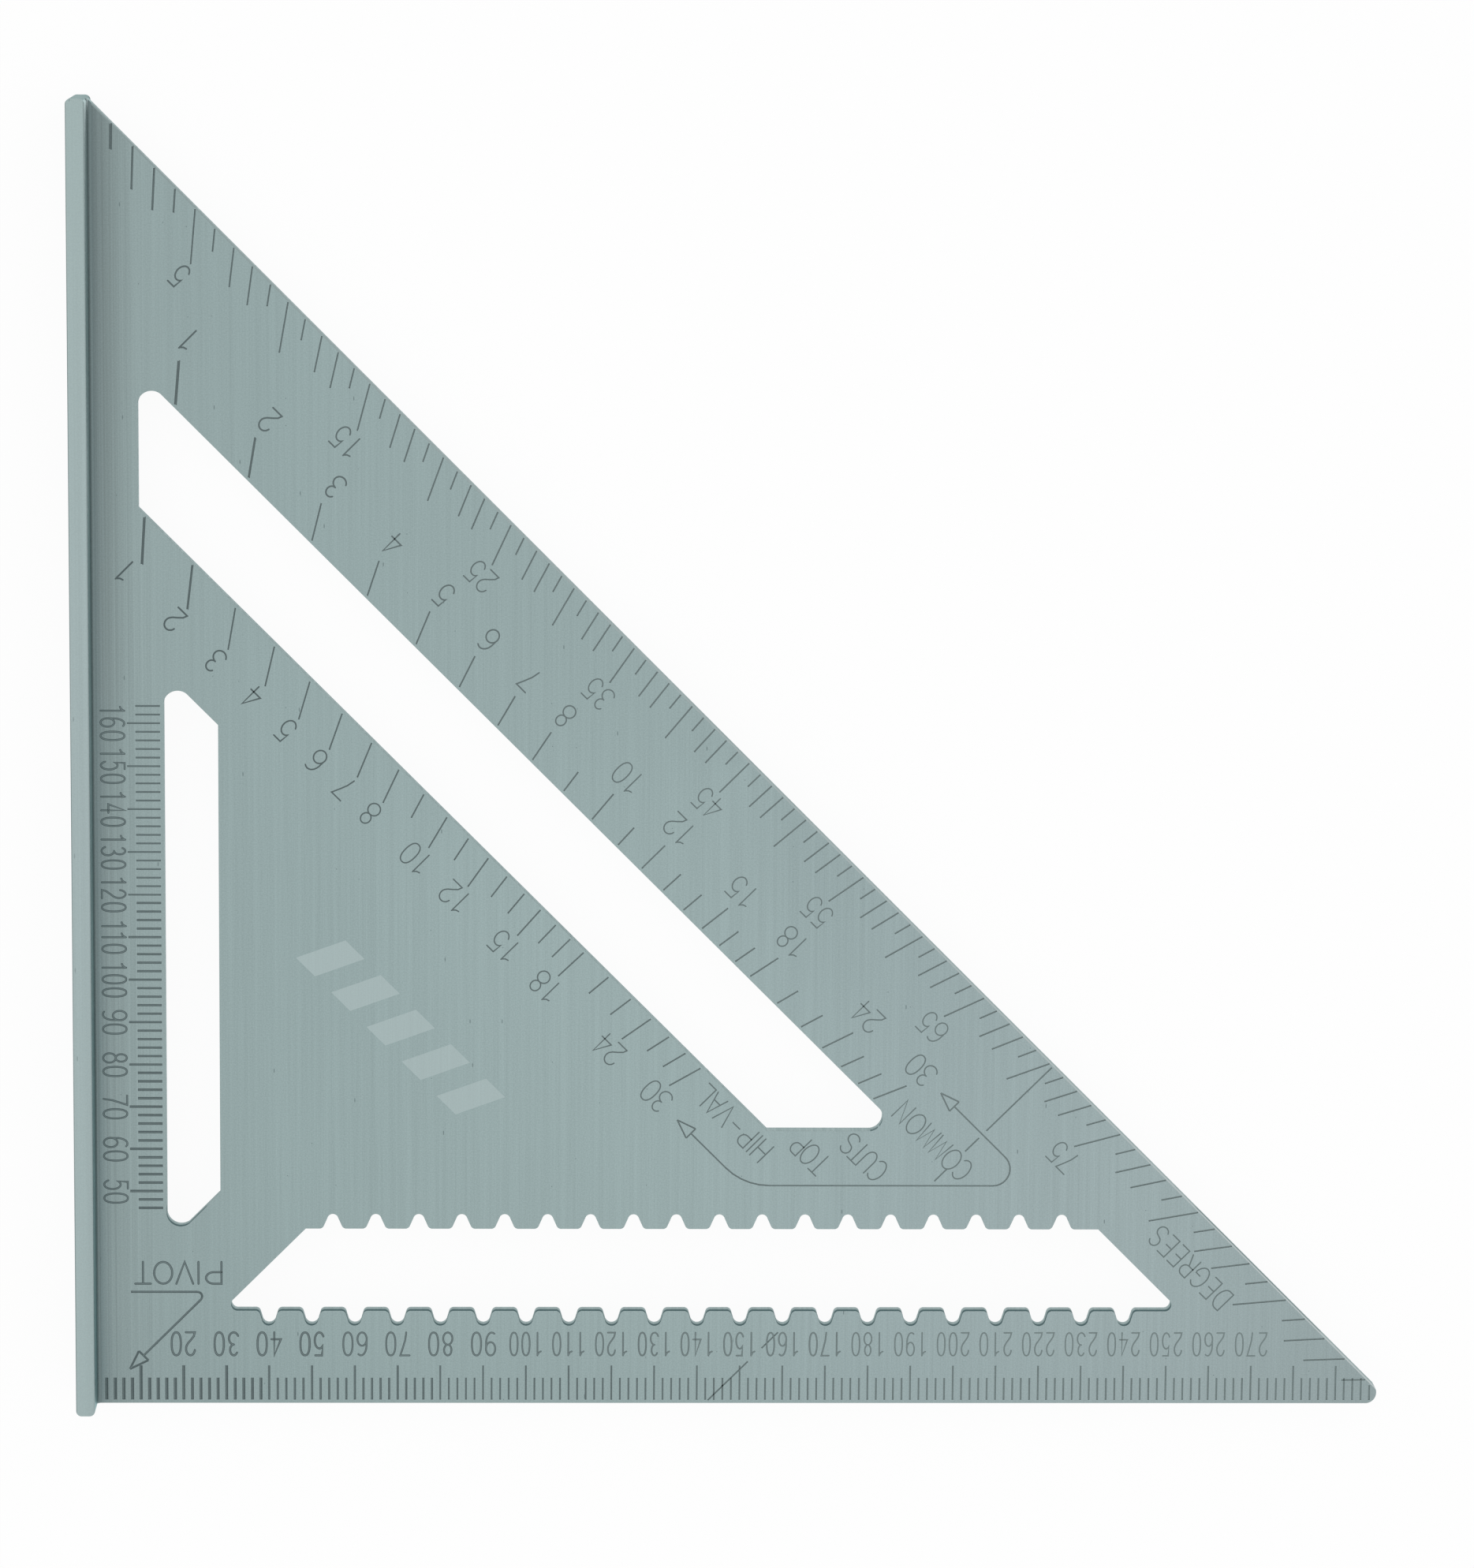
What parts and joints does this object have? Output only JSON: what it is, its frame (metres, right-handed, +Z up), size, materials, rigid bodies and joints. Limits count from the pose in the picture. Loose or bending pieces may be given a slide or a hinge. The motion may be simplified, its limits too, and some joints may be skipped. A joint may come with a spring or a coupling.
{
  "type": "rafter square",
  "caption": "Flat right-angled metric rafter square with a T-shaped fence, engraved ruler, angle and pitch scales, a diagonal slot, a hand slot and a notched scribing slot.",
  "frame": {"origin": "the pivot point: the corner of the marked face between the fence and the heel, where the degree rays meet and both ruler scales read zero", "axes": "+X along the heel away from the fence, +Y along the fence, +Z up out of the marked face"},
  "size_m": [0.3041, 0.3048, 0.02],
  "materials": {
    "blade_metal": "fine brushed, clear anodised, satin",
    "fence_metal": "as extruded, clear anodised, satin",
    "mark": "darkened floor of an engraved groove, matt"
  },
  "bodies": {
    "root": {"blade": "blade_metal", "fence": "fence_metal", "heel_scale": "mark", "fence_scale": "mark", "degree_scale": "mark", "common_scale": "mark", "hip_valley_scale": "mark", "pivot_arrow": "mark", "top_cuts_bracket": "mark", "bevel_guide_line": "mark"}
  },
  "joints": []
}
